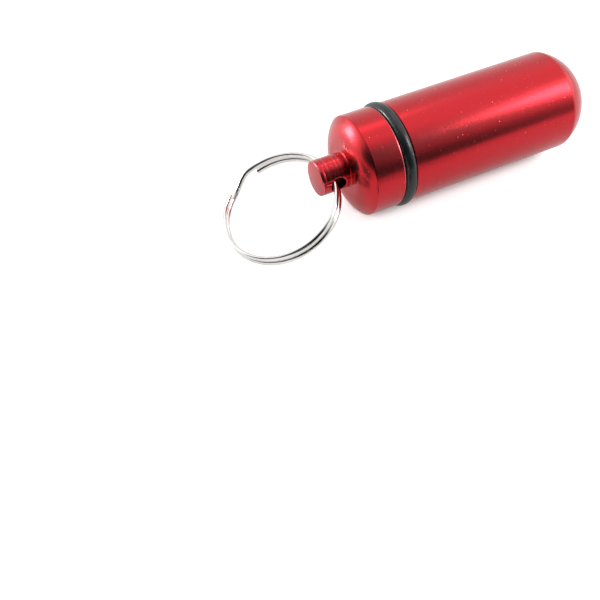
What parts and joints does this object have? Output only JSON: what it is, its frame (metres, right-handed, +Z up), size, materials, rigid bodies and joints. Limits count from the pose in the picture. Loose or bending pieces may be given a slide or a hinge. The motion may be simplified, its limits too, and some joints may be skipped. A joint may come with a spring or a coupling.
{
  "type": "keychain capsule",
  "caption": "Turned metal keychain capsule: a domed tube, a screw cap that closes it on a rubber O-ring, and a split ring through the cap's drilled lug.",
  "frame": {"origin": "middle of the footprint of the closed capsule with its split ring laid down, on the surface it lies on", "axes": "+X along the capsule's axis towards the tube's domed end, the cap's lug and the split ring on the -X side, +Z up"},
  "size_m": [0.0668, 0.0212, 0.0178],
  "materials": {
    "red_tube": "satin red anodised, fine turned",
    "red_cap": "satin red anodised, fine turned",
    "black_rubber": "smooth moulded",
    "ring_steel": "nickel-plated spring steel, polished"
  },
  "bodies": {
    "tube": {"capsule_tube": "red_tube"},
    "seal": {"o_ring": "black_rubber"},
    "cap": {"screw_cap": "red_cap"},
    "ring": {"split_ring": "ring_steel"}
  },
  "joints": [
    {"name": "cap_travel", "type": "slide", "parent": "tube", "child": "seal", "axis": [-1, 0, 0], "range_m": [0, 0.00901]},
    {"name": "cap_turn", "type": "hinge", "parent": "seal", "child": "cap", "pos_m": [-0.00309, -0.00014, 0.00892], "axis": [-1, 0, 0], "range_deg": [0, 3240]},
    {"name": "ring_swing", "type": "hinge", "parent": "cap", "child": "ring", "pos_m": [-0.01452, -0.00014, 0.00892], "axis": [0, 0.9999, 0.014], "range_deg": [-108, 155]}
  ],
  "couplings": [
    {"joint": "cap_travel", "follows": "cap_turn", "m_per_rad": 0.00015915}
  ]
}
